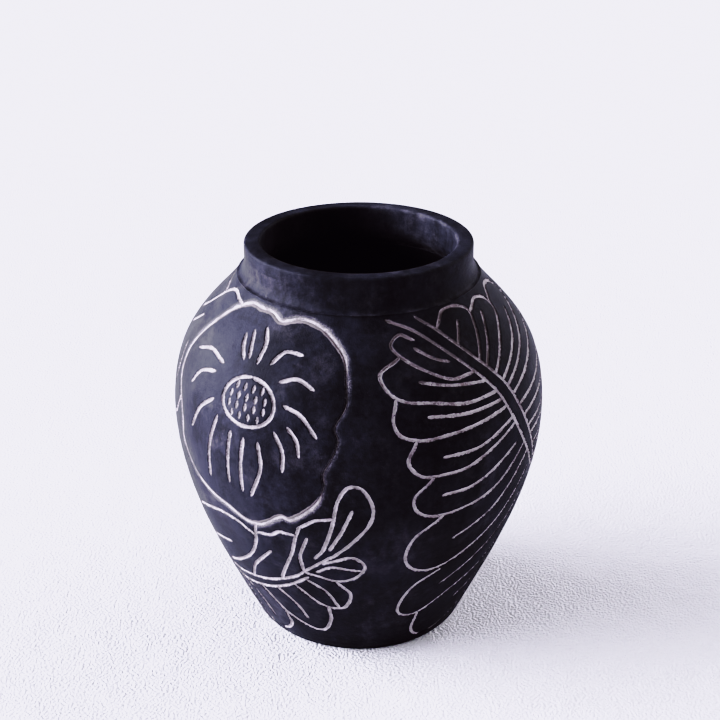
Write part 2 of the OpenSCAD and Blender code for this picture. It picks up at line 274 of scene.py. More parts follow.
def outer_r(z):
    """The radius of the wall's outside at a height, and its lean (change of radius with height)."""
    i = min(max(bisect_left(curve_z, z), 1), len(curve) - 1)
    a, b = curve[i - 1], curve[i]
    lean = (b.x - a.x) / (b.y - a.y)
    return a.x + (z - a.y) * lean, lean


def inner_point(z):
    """A point on the inside of the wall, square in from the outside at a height."""
    r, lean = outer_r(z)
    length = hypot(1, lean)
    return r - wall / length, z + wall * lean / length


inside = [inner_point(p.y) for p in curve[::8]] + [inner_point(body_h)]


def inner_r(z):
    """The radius of the wall's inside at a height."""
    for (r0, z0), (r1, z1) in zip(inside, inside[1:]):
        if z0 <= z <= z1:
            return r0 + (r1 - r0) * (z - z0) / (z1 - z0)
    return inside[0][0] if z < inside[0][1] else inside[-1][0]


def on_wall(turn, z):
    """The point at a turn in degrees from the front and a height, and the outward normal there."""
    r, lean = outer_r(z)
    length = hypot(1, lean)
    s, c = sin(radians(turn)), -cos(radians(turn))
    return Vector((r * s, r * c, z)), Vector((s / length, c / length, -lean / length))


print("belly", round(belly_r, 4), "at", belly_z, "inside at the base", round(inner_r(base_t), 4))

# %% [markdown]
# ## The carved drawing
# Each line is a few points of (turn from the front in degrees, height in millimetres), the same
# points as in the design, with a smooth curve through them. Lines drawn in the round like this
# follow the pot by themselves. A painted picture would have to be stretched over it.

# %% The flower
flower_mid = (-35.5, 136.7)
flower_centre_size = (9.6, 9.5)
flower_outline = [
    (-74, 138), (-73, 146), (-68, 157), (-62, 164), (-54, 168), (-47, 168), (-40, 168),
    (-34, 166), (-24, 168), (-15, 166), (-9, 162), (-5, 157), (-4, 149), (-4, 141), (-7, 133),
    (-6, 127), (-8, 119), (-10, 113), (-10, 106), (-13, 97), (-20, 88), (-24, 88), (-31, 81),
    (-37, 80), (-44, 84), (-51, 86), (-58, 90), (-63, 96), (-67, 104), (-67, 113), (-69, 121),
    (-73, 131)]
petal_marks = [
    [(-47, 159), (-45, 155), (-42, 151)],
    [(-44, 161), (-42, 157), (-40, 152)],
    [(-39, 163), (-36, 158), (-36, 151)],
    [(-31, 152), (-27, 157), (-20, 157)],
    [(-26, 147), (-20, 149), (-14, 146)],
    [(-23, 139), (-17, 136), (-12, 128)],
    [(-21, 131), (-18, 126), (-17, 119)],
    [(-25, 128), (-22, 120), (-22, 111)],
    [(-30, 122), (-29, 110), (-33, 95)],
    [(-35, 122), (-36, 109), (-36, 96)],
    [(-40, 123), (-41, 110), (-41, 98)],
    [(-46, 127), (-49, 112), (-50, 96)],
    [(-49, 133), (-55, 126), (-59, 115)],
    [(-52, 143), (-59, 140), (-63, 133)],
    [(-67, 146), (-59, 149), (-50, 147)]]
centre_ring = [(flower_mid[0] + flower_centre_size[0] * cos(radians(a)),
                flower_mid[1] + flower_centre_size[1] * sin(radians(a))) for a in range(96, 449, 22)]
seed_rows = [(5.6, 4), (1.9, 5), (-1.9, 5), (-5.6, 4)]
seed_pitch = 3.2
seed_length = 2.6
seeds = []
for rise, count in seed_rows:
    for i in range(count):
        turn = flower_mid[0] + seed_pitch * (i - (count - 1) / 2)
        z = flower_mid[1] + rise
        seeds.append([(turn, z - seed_length / 2), (turn, z), (turn, z + seed_length / 2)])
print("flower", len(petal_marks), "petal marks", len(seeds), "seeds")

# %% The sprig and the leaf at the side
sprig_stem = [
    [(-64, 39), (-54, 39), (-45, 41), (-34, 45), (-23, 52), (-17, 59), (-11, 66)],
    [(-62, 36), (-54, 34), (-44, 36), (-34, 40), (-25, 46), (-18, 53)]]
sprig_leaves = [
    [(-67, 69), (-60, 73), (-50, 77), (-42, 77), (-37, 74)],
    [(-34, 76), (-35, 69), (-38, 61), (-43, 54), (-51, 47), (-58, 43)],
    [(-69, 51), (-58, 56), (-50, 59)],
    [(-32, 75), (-28, 76), (-25, 79), (-21, 79)],
    [(-18, 84), (-20, 76), (-22, 67), (-27, 53)],
    [(-30, 65), (-35, 58), (-40, 51), (-43, 44)],
    [(-16, 86), (-13, 89), (-10, 90)],
    [(-16, 78), (-19, 67), (-19, 61)],
    [(-14, 67), (-11, 73), (-8, 86), (-6, 100), (-3, 107), (1, 106), (4, 97), (3, 88), (-2, 78),
     (-8, 69)],
    [(-2, 95), (-5, 84), (-9, 73)],
    [(-8, 66), (-2, 69), (2, 63), (-1, 56), (-7, 53), (-14, 55)],
    [(-3, 61), (-9, 62), (-14, 58)],
    [(-7, 51), (-3, 44), (-5, 35), (-10, 33), (-16, 36), (-23, 45)],
    [(-17, 50), (-12, 45), (-9, 37)],
    [(-12, 30), (-12, 24), (-15, 16), (-20, 14), (-27, 17), (-34, 23), (-40, 33)],
    [(-31, 38), (-26, 31), (-23, 22)],
    [(-34, 18), (-34, 13), (-39, 7), (-48, 5), (-54, 9), (-56, 20), (-56, 31)],
    [(-51, 31), (-47, 23), (-45, 13)]]
side_leaf = [
    [(-93, 152), (-87, 157), (-79, 165), (-72, 168), (-65, 167)],
    [(-90, 146), (-82, 153)],
    [(-93, 169), (-84, 166)],
    [(-80, 108), (-75, 112), (-72, 118)],
    [(-80, 122), (-78, 132), (-79, 142)]]
print("sprig", len(sprig_stem) + len(sprig_leaves), "lines, side leaf", len(side_leaf))

# %% The fern
fern_rib = [
    [(12, 169), (22, 165), (31, 158), (40, 148), (47, 137), (52, 124), (59, 107), (69, 88)],
    [(25, 169), (33, 163), (42, 153), (51, 140), (57, 125), (63, 109), (70, 92)]]
fern_left_leaflets = [
    [(21, 162), (16, 164), (12, 161), (15, 157), (22, 152), (31, 147), (38, 147)],
    [(21, 159), (27, 155), (32, 153)],
    [(13, 156), (7, 152), (9, 146), (14, 142), (23, 140), (34, 137), (44, 137)],
    [(20, 148), (30, 145), (41, 143)],
    [(11, 141), (10, 135), (12, 129), (18, 126), (24, 126), (35, 127), (48, 129)],
    [(21, 135), (34, 133), (46, 133)],
    [(16, 124), (14, 117), (18, 110), (25, 109), (34, 110), (51, 119)],
    [(25, 117), (37, 117), (49, 122)],
    [(20, 106), (16, 100), (17, 93), (22, 89), (30, 89), (43, 93), (57, 106)],
    [(25, 99), (36, 100), (53, 110)],
    [(24, 86), (17, 78), (15, 66), (19, 58), (27, 56), (37, 61), (50, 72), (64, 91)],
    [(31, 73), (45, 82), (60, 100)],
    [(29, 54), (20, 46), (16, 33), (18, 26), (26, 25), (39, 35), (54, 45), (64, 56), (69, 70),
     (71, 82)],
    [(32, 43), (45, 53), (58, 66), (67, 84)],
    [(26, 22), (26, 12), (31, 6), (41, 6), (51, 11), (60, 22), (67, 38), (70, 52)],
    [(46, 26), (57, 34), (65, 47)]]
fern_right_leaflets = [
    [(34, 165), (39, 169), (47, 169), (53, 166), (51, 160), (46, 152)],
    [(44, 164), (41, 160)],
    [(56, 166), (62, 168), (69, 166), (70, 161), (61, 154), (51, 145)],
    [(60, 163), (54, 156), (48, 149)],
    [(73, 165), (79, 168), (89, 166), (92, 160), (83, 154), (73, 148), (55, 138)],
    [(79, 158), (69, 151), (53, 141)],
    [(94, 159), (103, 158), (109, 151), (103, 144), (89, 137), (74, 131), (59, 127)],
    [(96, 151), (80, 144), (58, 134)],
    [(104, 142), (110, 134), (106, 127), (95, 121), (80, 116), (64, 114)],
    [(97, 132), (84, 126), (62, 121)],
    [(103, 122), (109, 116), (104, 109), (92, 105), (69, 102)],
    [(96, 115), (82, 111), (66, 109)],
    [(101, 105), (104, 98), (96, 91), (82, 89), (72, 92)],
    [(93, 99), (72, 99)]]
print("fern", len(fern_rib) + len(fern_left_leaflets) + len(fern_right_leaflets), "lines")

# %% [markdown]
# ## The drawing on the back
# A potter repeats the drawing on the other side. The flower and the sprig are turned round the
# pot, and the fern is turned and drawn a little narrower, to fit the room that is left.

# %% Turn the motifs to the back
back_turn = 186
back_fern_start = 184
back_fern_squeeze = 0.72


def on_back(strokes):
    return [[(turn + back_turn, z) for turn, z in stroke] for stroke in strokes]


def on_back_fern(strokes):
    return [[(back_fern_start + back_fern_squeeze * turn, z) for turn, z in stroke]
            for stroke in strokes]


outline_w, petal_w, rib_w, leaf_w, seed_w = (w * MM for w in (2.6, 1.7, 1.6, 1.6, 1.7))
motifs = {
    "flower_outline_slip": ([flower_outline], outline_w),
    "flower_petal_slip": (petal_marks, petal_w),
    "flower_centre_slip": ([centre_ring], leaf_w),
    "flower_seed_slip": (seeds, seed_w),
    "sprig_stem_slip": (sprig_stem, rib_w),
    "sprig_leaf_slip": (sprig_leaves, leaf_w),
    "side_leaf_slip": (side_leaf, leaf_w),
    "fern_rib_slip": (fern_rib, rib_w),
    "fern_left_leaflet_slip": (fern_left_leaflets, leaf_w),
    "fern_right_leaflet_slip": (fern_right_leaflets, leaf_w)}
for name in list(motifs):
    strokes, width = motifs[name]
    if name != "side_leaf_slip":
        turned = on_back_fern(strokes) if name.startswith("fern") else on_back(strokes)
        motifs["back_" + name] = (turned, width)
print(len(motifs), "motifs,", sum(len(s) for s, _ in motifs.values()), "lines")

# %% [markdown]
# ## Walking along a line
# A tool leaves a groove whose width comes and goes. Each line is walked in quarter-millimetre
# steps, and at each step its place, its direction, the way across it and its half width are
# kept. The clay and the slip both read these steps, so they always fit each other.

# %% Smooth curves through the points
walk_step = 0.25 * MM
smooth_steps = 24
longest_run_on = 6.5
shortest_run_on = 0.5
meeting_gap = 0.8 * MM
blunt_end = {"outline": 1.0, "leaf": 0.62, "petal": 0.38, "seed": 0.45}


def smooth(points, closed):
    """A dense list of (turn, height) on a smooth curve through the points."""
    n = len(points)
    if closed:
        path = [points[-1]] + points + points[:2]
    else:
        before = (2 * points[0][0] - points[1][0], 2 * points[0][1] - points[1][1])
        after = (2 * points[-1][0] - points[-2][0], 2 * points[-1][1] - points[-2][1])
        path = [before] + points + [after]
    dense = []
    for i in range(n if closed else n - 1):
        a, b, c, d = (Vector(p) for p in path[i:i + 4])
        for j in range(smooth_steps):
            t = j / smooth_steps
            dense.append(0.5 * (2 * b + (c - a) * t + (2 * a - 5 * b + 4 * c - d) * t * t
                                + (3 * b - a - 3 * c + d) * t * t * t))
    dense.append(Vector(points[0] if closed else points[-1]))
    return dense


def kind_of(name):
    for kind in ("outline", "petal", "seed"):
        if kind in name:
            return kind
    return "leaf"


def ease(value, low, high):
    """Nothing below low, one above high, and a soft step between."""
    share = min(1.0, max(0.0, (value - low) / (high - low)))
    return share * share * (3 - 2 * share)


def kept_slip(kind, turn, z):
    """How much slip was left in a line. The right side of the flower's outline and the top of
    the fern were wiped hardest."""
    if kind == "outline":
        turn = turn if turn < 90 else turn - back_turn
        patch = max(0.0, noise.noise(Vector((turn * 0.3, z * 0.13, 3.0))))
        wiped = ease(turn, -18, -10) * ease(z, 96, 106) * ease(-z, -160, -146)
        return 1 - wiped * (1 - 0.9 * patch)
    if kind == "leaf":
        return 1 - 0.62 * ease(z, 128, 158) * ease(turn, 5, 12) * ease(-turn, -75, -45)
    return 1.0


def every_line():
    """A search tree of points on all the lines, and the line each point is on."""
    spots = []
    for name, (strokes, _) in motifs.items():
        for number, stroke in enumerate(strokes):
            for q in smooth(stroke, kind_of(name) == "outline")[::2]:
                spots.append((on_wall(q.x, q.y * MM)[0], (name, number)))
    found = KDTree(len(spots))
    for i, (place, _) in enumerate(spots):
        found.insert(place, i)
    found.balance()
    return found, [line for _, line in spots]


all_points, line_of_point = every_line()


def run_on(dense, end, before, line):
    """Carries the end of a line on to the line ahead of it, where one is near."""
    at = on_wall(dense[end].x, dense[end].y * MM)[0]
    back = on_wall(dense[before].x, dense[before].y * MM)[0]
    step = (at - back).length
    length = shortest_run_on
    for tenth in range(5, round(longest_run_on * 10), 3):
        spot = at + (at - back) * (tenth * 0.1 * MM / step)
        _, _, gap = all_points.find(spot, filter=lambda i: line_of_point[i] != line)
        if gap < meeting_gap:
            length = tenth * 0.1
            break
    dense[end] = dense[end] + (dense[end] - dense[before]) * (length * MM / step)


def walk(points, width, line):
    """Steps along a line: place, out, across, half width, slip kept. Across points left of the
    way ahead."""
    kind = kind_of(line[0])
    closed = kind == "outline"
    dense = smooth(points, closed)
    if kind == "leaf":
        run_on(dense, 0, 1, line)
        run_on(dense, -1, -2, line)
    places = [on_wall(q.x, q.y * MM) for q in dense]
    lengths = [0.0]
    for (a, _), (b, _) in zip(places, places[1:]):
        lengths.append(lengths[-1] + (b - a).length)
    total = lengths[-1]
    count = max(int(total / walk_step), 6)
    steps, j = [], 0
    for i in range(count + 1):
        at = total * i / count
        while j < len(lengths) - 2 and lengths[j + 1] < at:
            j += 1
        f = (at - lengths[j]) / max(lengths[j + 1] - lengths[j], 1e-9)
        q = dense[j].lerp(dense[j + 1], f)
        place, out = on_wall(q.x, q.y * MM)
        ahead = (places[j + 1][0] - places[j][0]).normalized()
        from_end = min(at, total - at)
        taper = min(1.0, blunt_end[kind] + from_end / (1.5 * width))
        wander = 1 + 0.20 * noise.noise(place * 230) + 0.18 * noise.noise(place * 900)
        kept = kept_slip(kind, q.x, q.y)
        steps.append((place, out, out.cross(ahead), 0.5 * width * taper * wander, kept))
    return steps


walks = {name: [walk(stroke, width, (name, i)) for i, stroke in enumerate(strokes)]
         for name, (strokes, width) in motifs.items()}
step_count = sum(len(steps) for lines in walks.values() for steps in lines)
print(step_count, "steps,", round(step_count * walk_step, 2), "m of carved line")

# %% [markdown]
# ## The shape of a cut
# Most lines are a round-bottomed groove with a faint burr on its edges. The flower's outline is
# cut on a slant: steep on the side of the petals and running out wide on the other side, which
# makes the flower stand out from the pot. The depth is a formula of the distance across.

# %% Depth across a line
cut_depth = 0.95 * MM
slant_reach = 3.6 * MM


def line_depth(across, half):
    """Depth of a plain groove at a distance from its middle."""
    share = abs(across) / half
    burr = 0.05 * MM * max(0.0, 1 - abs(share - 1.25) / 0.5)
    if share >= 1:
        return -burr
    return min(1.0, half / (0.7 * MM)) * cut_depth * (1 - share * share) ** 0.7 - burr


def outline_depth(across, half):
    """Depth of the flower's slanted outline. Across is positive outside the flower."""
    if across < 0:
        share = min(1.0, -across / (0.55 * half))
        return cut_depth * (1 - share * share * (3 - 2 * share))
    share = min(1.0, across / slant_reach)
    return cut_depth * (1 - share) ** 2.2


def tree_of(lines):
    """A search tree of all the steps of some lines, and the steps in the tree's order."""
    steps = [step for line in lines for step in line]
    found = KDTree(len(steps))
    for i, step in enumerate(steps):
        found.insert(step[0], i)
    found.balance()
    return found, steps


plain_tree = tree_of([line for name in walks if not name.endswith("outline_slip")
                      for line in walks[name]])
outline_tree = tree_of([line for name in walks if name.endswith("outline_slip")
                        for line in walks[name]])


def nearest(tree, place):
    """Distance across the nearest line (signed), its half width and the distance to it."""
    _, index, distance = tree[0].find(place)
    at, out, side, half, kept = tree[1][index]
    across = (place - at).dot(side)
    across = distance if across >= 0 else -distance
    return across, half, distance, kept


print("plain steps", len(plain_tree[1]), "outline steps", len(outline_tree[1]))

# %% [markdown]
# ## The hand in the clay
# A wall raised and scraped by hand is never a true surface of turning. Slow noise moves it by a
# third of a millimetre, and faster noise adds the facets that scraping leaves. The flower's
# centre is a low boss.

# %% Unevenness and the boss
centres = [on_wall(flower_mid[0], flower_mid[1] * MM)[0],
           on_wall(flower_mid[0] + back_turn, flower_mid[1] * MM)[0]]
boss_r = 12.0 * MM
boss_height = 0.7 * MM


def handmade(place):
    """How far the clay stands out from the true surface."""
    slow = 0.34 * noise.noise(place * 17)
    scraped = 0.10 * noise.noise(Vector((place.x * 60, place.y * 60, place.z * 95)))
    settled = min(1.0, place.z / (12 * MM))
    return (slow + scraped) * MM * (0.25 + 0.75 * settled)


def boss(place):
    """The rise of the flower's domed centre."""
    distance = min((place - centre).length for centre in centres)
    return boss_height * max(0.0, 1 - (distance / boss_r) ** 2)


def carved(place, out):
    """The carved surface over a point of the true one, with how near a line it is, and its dust."""
    across, half, distance, _ = nearest(plain_tree, place)
    depth = line_depth(across, half) if distance < 4 * half else 0.0
    nearness = distance / half
    dust = max(0.0, 1 - (distance - half) / (1.3 * MM)) * 0.45
    wide_across, wide_half, wide_distance, kept = nearest(outline_tree, place)
    if wide_distance < 3 * slant_reach:
        wide_across += 0.25 * MM * noise.noise(place * 420)
        depth = max(depth, outline_depth(wide_across, wide_half))
        nearness = min(nearness, wide_distance / wide_half + 2.0 * (1 - kept))
        reach = slant_reach if wide_across > 0 else 0.3 * MM
        chalk = max(0.0, 1 - max(0.0, wide_distance - 0.5 * wide_half) / reach)
        dust = max(dust, chalk * (0.65 + 0.35 * kept))
    lift = handmade(place) + boss(place) - depth
    return place + out * lift, nearness, dust


print("unevenness", round(handmade(Vector((0, -belly_r, belly_z))) * 1000, 3), "mm at the front")

# %% [markdown]
# ## Clay rings with their carving
# A ring is a closed outline spun round the axis. Then the faces near a carved line are cut finer
# and finer, and every point of the outside is moved to the carved surface. Cutting the whole
# wall that fine would take ten times the faces, and a displacement texture would not be there
# in the exported mesh.


# %% Helpers that spin an outline and finish a piece
def lathe(outline, sides):
    """A closed outline of (radius, height) spun round the axis."""
    bm = bmesh.new()
    ring = [bm.verts.new((0, -r, z)) for r, z in outline]
    edges = [bm.edges.new(pair) for pair in zip(ring, ring[1:] + ring[:1])]
    bmesh.ops.spin(bm, geom=ring + edges, cent=(0, 0, 0), axis=(0, 0, 1), angle=tau,
                   steps=sides, use_merge=True)
    bmesh.ops.remove_doubles(bm, verts=bm.verts, dist=1e-6)
    bmesh.ops.dissolve_degenerate(bm, edges=bm.edges, dist=1e-7)
    bmesh.ops.recalc_face_normals(bm, faces=bm.faces)
    return bm


def finish_piece(bm, name, material, stands_for, sharp_angle=50):
    """Makes the object of a piece, smooth shaded, riding on the pot."""
    data = bpy.data.meshes.new(name)
    bm.to_mesh(data)
    bm.free()
    for face in data.polygons:
        face.use_smooth = True
    if sharp_angle:
        data.set_sharp_from_angle(angle=radians(sharp_angle))
    data.materials.append(material)
    piece = bpy.data.objects.new(name, data)
    bpy.context.collection.objects.link(piece)
    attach(piece, "root")
    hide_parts(*stands_for)
    print(name, len(data.polygons), "faces")
    return piece


# %% [markdown]
# ## Black clay
# Smoke makes the clay black right through. Rubbing closes its face, so it shines softly at a low
# angle, and white chalk dust stays near the cuts and in the grain. Noise at three scales makes
# the smoky patches, the long upright streaks and the fine grain. The dust and the pale cuts read
# the values that the carving leaves on the mesh.

# %% The clay's material
CLAY_BLACK = (0.0100, 0.0100, 0.0122, 1)
CLAY_SMOKE = (0.0230, 0.0233, 0.0288, 1)
# The pale chalk dust colour; it is also used as painted light on the collar's left side and the
# mouth's back right edge.
CHALK_AND_PAINTED_LIGHT = (0.33, 0.305, 0.33, 1)
SLIP_PALE = (0.44, 0.40, 0.415, 1)
SLIP_BROWN = (0.155, 0.137, 0.138, 1)


def black_clay(name, carved_lines):
    material, tree, shader = new_material(name)
    place = object_space(tree)
    clouds = noise_value(tree, place, 26.0, 4.0, 0.6)
    streaks = noise_value(tree, stretched(tree, place, (75, 75, 11)), 1.0, 4.0, 0.6)
    speckle = noise_value(tree, place, 900.0, 2.0, 0.6)
    smudge = noise_value(tree, place, 90.0, 5.0, 0.7)
    powder = noise_value(tree, place, 2400.0, 2.0, 0.6)
    bloom = noise_value(tree, place, 42.0, 8.0, 0.75)
    mottle = noise_value(tree, place, 330.0, 5.0, 0.7)
    smoke = math_of(tree, "ADD", math_of(tree, "MULTIPLY", clouds, 0.5),
                    math_of(tree, "MULTIPLY", streaks, 0.5))
    smoke = math_of(tree, "ADD", smoke, math_of(tree, "MULTIPLY", mottle, 0.5))
    colour = mix_colours(tree, remap(tree, smoke, 0.58, 0.94), CLAY_BLACK, CLAY_SMOKE)
    grains = math_of(tree, "MULTIPLY", remap(tree, speckle, 0.60, 0.80),
                     remap(tree, smudge, 0.50, 0.75, 0.01, 0.12))
    colour = mix_colours(tree, grains, colour, CHALK_AND_PAINTED_LIGHT)
    haze = math_of(tree, "MULTIPLY", remap(tree, bloom, 0.50, 0.70, 0.0, 0.12), powder)
    colour = mix_colours(tree, haze, colour, CHALK_AND_PAINTED_LIGHT)
    if carved_lines:
        ragged = math_of(tree, "MULTIPLY", math_of(tree, "SUBTRACT", smudge, 0.5), 1.1)
        dust = math_of(tree, "ADD", attribute(tree, "dust"), ragged)
        fine = math_of(tree, "MULTIPLY", remap(tree, dust, 0.35, 1.25),
                       remap(tree, powder, 0.40, 0.62, 0.05, 0.85))
        colour = mix_colours(tree, fine, colour, CHALK_AND_PAINTED_LIGHT)
        edge = math_of(tree, "ADD", attribute(tree, "nearness"),
                       math_of(tree, "MULTIPLY", math_of(tree, "SUBTRACT", smudge, 0.5), 0.9))
        colour = mix_colours(tree, remap(tree, edge, 0.75, 1.15, 0.85, 0.0), colour, SLIP_BROWN)
    else:
        # The wear attribute whitens the clay with chalk: real wear on the mouth's edge and chalk in
        # the collar's seam, plus painted light on the collar's left side and the mouth's back right
        # edge.
        wear_and_painted_light = math_of(tree, "MULTIPLY", attribute(tree, "wear_and_painted_light"), remap(tree, smudge, 0.4, 0.75))
        colour = mix_colours(tree, wear_and_painted_light, colour, CHALK_AND_PAINTED_LIGHT)
    tree.links.new(colour, shader.inputs["Base Color"])
    rough = remap(tree, smoke, 0.55, 0.95, 0.50, 0.62)
    tree.links.new(rough, shader.inputs["Roughness"])
    shader.inputs["Specular IOR Level"].default_value = 0.04
    grain = noise_value(tree, place, 1500.0, 2.0, 0.6)
    rubbed = noise_value(tree, stretched(tree, place, (120, 120, 420)), 1.0, 2.0, 0.5)
    normal = bump(tree, rubbed, 0.35, 0.0004)
    normal = bump(tree, bloom, 0.4, 0.0008, normal)
    normal = bump(tree, mottle, 0.3, 0.0003, normal)
    normal = bump(tree, grain, 0.8, 0.0002, normal)
    tree.links.new(normal, shader.inputs["Normal"])
    return material


carved_clay = black_clay("carved_black_clay", True)
plain_clay = black_clay("plain_black_clay", False)
print("clay", carved_clay.name, plain_clay.name)

# %% [markdown]
# ## Refining the wall
# Only faces near a line need to be small. Four rounds of cutting halve the faces within a
# shrinking distance of the lines, which leaves cells of about 0.4 mm in the grooves.

# %% Build one carved ring
ring_sides = 84
row_height = 5.4 * MM
refine_reach = [9 * MM, 5 * MM, 2.6 * MM, 1.35 * MM]
outline_reach = [9 * MM, 6 * MM, 3.8 * MM, 1.35 * MM]
border = 0.35 * MM


def spread(low, high, step):
    """Values from low to high, evenly spaced, no further apart than step."""
    count = max(1, round((high - low) / step))
    return [low + (high - low) * i / count for i in range(count + 1)]


def ring_outline(low, high):
    """The closed outline of a ring between two seams. Thin rows at its borders keep the
    shading the same on both sides of a seam."""
    rows = [low] + spread(low + border, high - border, row_height) + [high]
    outside = [(outer_r(z)[0], z) for z in rows]
    if high < body_h:
        inside_rows = spread(low + joint_rise, high + joint_rise, 8 * MM)
        back = [(inner_r(z), z) for z in reversed(inside_rows)]
    else:
        top = inner_point(body_h)
        inside_rows = spread(low + joint_rise, top[1] - MM, 8 * MM)
        back = [top] + [(inner_r(z), z) for z in reversed(inside_rows)]
    return outside + back


def refine(bm, outside):
    """Cuts the faces near the lines finer, in one round for each reach."""
    for reach, wide_reach in zip(refine_reach, outline_reach):
        edges = set()
        for face in bm.faces:
            if face[outside]:
                middle = face.calc_center_median()
                near = nearest(plain_tree, middle)[2] < reach
                if near or nearest(outline_tree, middle)[2] < wide_reach:
                    edges.update(face.edges)
        bmesh.ops.subdivide_edges(bm, edges=list(edges), cuts=1, use_grid_fill=True)


def carved_ring(name, low, high):
    bm = lathe(ring_outline(low, high), ring_sides)
    outside = bm.faces.layers.int.new("outside")
    for face in bm.faces:
        corners = [abs(hypot(v.co.x, v.co.y) - outer_r(v.co.z)[0]) for v in face.verts]
        in_rows = all(low - 1e-6 <= v.co.z <= high + 1e-6 for v in face.verts)
        face[outside] = int(max(corners) < 1e-5 and in_rows)
    refine(bm, outside)
    nearness_layer = bm.verts.layers.float.new("nearness")
    dust_layer = bm.verts.layers.float.new("dust")
    for vert in bm.verts:
        vert[nearness_layer] = 9.0
    on_outside = {vert for face in bm.faces if face[outside] for vert in face.verts}
    for vert in on_outside:
        turn = atan2(vert.co.x, -vert.co.y) * 180 / pi
        place, out = on_wall(turn, vert.co.z)
        vert.co, vert[nearness_layer], vert[dust_layer] = carved(place, out)
    for edge in bm.edges:
        sides = {face[outside] for face in edge.link_faces}
        if len(sides) == 2:
            edge.smooth = False
    return finish_piece(bm, name, carved_clay, [name.replace("carved_", "")], 0)


base_joint_z = base_t - joint_rise
lower = carved_ring("carved_lower_wall", base_joint_z, low_joint_z)
belly = carved_ring("carved_belly_wall", low_joint_z, high_joint_z)
shoulder = carved_ring("carved_shoulder_wall", high_joint_z, body_h)

# %% [markdown]
# ## The foot, the collar and the lip
# The foot is the pancake of clay that the pot was started on. The collar stands on the shoulder
# in a hollow curve, and its seam shows as a crease. The lip is cut flat, a little uneven, with
# its edges rubbed by use. Pale chalk colour is also painted on the collar's left side and on the
# mouth's back right edge as painted light, where the window light falls. Each is spun from its
# outline and pushed about by the same slow noise.


# %% Plain pieces with worn edges and painted light
def plain_ring(name, outline, stands_for, sides=160, wear_and_painted_light_at=None):
    bm = lathe(outline, sides)
    wear_and_painted_light_layer = bm.verts.layers.float.new("wear_and_painted_light")
    for vert in bm.verts:
        r = hypot(vert.co.x, vert.co.y)
        if r > 1e-6:
            outward = Vector((vert.co.x / r, vert.co.y / r, 0))
            turn = atan2(vert.co.x, -vert.co.y)
            vert[wear_and_painted_light_layer] = wear_and_painted_light_at(r, vert.co.z, turn) if wear_and_painted_light_at else 0.0
            vert.co += outward * handmade(vert.co)
    return finish_piece(bm, name, plain_clay, stands_for, 40)


slab_top_r = inner_r(base_t)
slab_outline = [(0, 0), (foot_r * 0.5, 0), (foot_r - 4 * MM, 0), (foot_r - foot_edge, 0)]
slab_outline += [(foot_r - foot_edge + foot_edge * sin(a), foot_edge * (1 - cos(a)))
                 for a in (radians(30), radians(60), radians(90))]
slab_outline += [(outer_r(z)[0], z) for z in (2.5 * MM, base_joint_z - border, base_joint_z)]
slab_outline += [(slab_top_r, base_t), (slab_top_r * 0.5, base_t), (0, base_t)]
slab = plain_ring("clay_base_slab", slab_outline, ["base_slab"])

collar_r = 51 * MM
mouth_r = 43.5 * MM
cove_h = 6.5 * MM
lip_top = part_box("lip_coil")[1].z
lip_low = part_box("lip_coil")[0].z
seam_in = inner_point(body_h)
flare_z = seam_in[1] + seam_in[0] - mouth_r


def cove(t):
    """The hollow curve from the seam to the collar's side."""
    low, bend, high = ((seam_r, body_h), (collar_r + 0.3 * MM, body_h + cove_h * 0.25),
                       (collar_r, body_h + cove_h))
    return tuple((1 - t) ** 2 * a + 2 * (1 - t) * t * b + t * t * c
                 for a, b, c in zip(low, bend, high))


lip_seam_in = lip_low + joint_rise / 2
collar_outline = [(seam_r - 0.6 * MM, body_h), (seam_r + 0.4 * MM, body_h - 0.15 * MM),
                  (seam_r + 0.45 * MM, body_h + 0.25 * MM)]
collar_outline += [cove(i / 8) for i in range(1, 9)]
collar_outline += [(collar_r, z) for z in spread(body_h + cove_h + MM, lip_low, MM)]
collar_outline += [(mouth_r, z) for z in reversed(spread(flare_z + 3 * MM, lip_seam_in, MM))]
collar_outline += [(mouth_r + 0.35 * MM, flare_z + 1.1 * MM),
                   (mouth_r + 1.1 * MM, flare_z - 0.7 * MM),
                   (mouth_r + 2.1 * MM, flare_z - 2.1 * MM)]
collar_outline += [seam_in]


def collar_chalk_and_painted_light(r, z, turn):
    """Chalk stays in the seam, and a pale patch on the collar's left side is painted light, where
    the window light falls.
    """
    seam = 0.14 * max(0.0, 1 - (z - body_h) / (1.6 * MM))
    # Painted light: a pale chalk patch on the collar's left side, where the window light falls.
    painted_light_patch = exp(-((turn + radians(58)) / radians(16)) ** 2 - ((z - body_h - 9 * MM) / (7 * MM)) ** 2)
    return seam + 0.10 * painted_light_patch * (r > collar_r - MM)


collar = plain_ring("clay_neck_collar", collar_outline, ["neck_collar"], 220,
                    collar_chalk_and_painted_light)
lip_edge = 1.2 * MM
corner = [radians(a) for a in (0, 22, 45, 68, 90)]
lip_outline = [(collar_r, z) for z in spread(lip_low, lip_top - lip_edge, MM)][:-1]
lip_outline += [(collar_r - lip_edge * (1 - cos(a)), lip_top - lip_edge * (1 - sin(a)))
                for a in corner]
lip_outline += [(mouth_r + lip_edge + (collar_r - mouth_r - 2 * lip_edge) * f, lip_top)
                for f in (0.66, 0.33)]
lip_outline += [(mouth_r + lip_edge * (1 - cos(a)), lip_top - lip_edge * (1 - sin(a)))
                for a in reversed(corner)]
lip_outline += [(mouth_r, z) for z in reversed(spread(lip_seam_in, lip_top - lip_edge, MM))][1:]


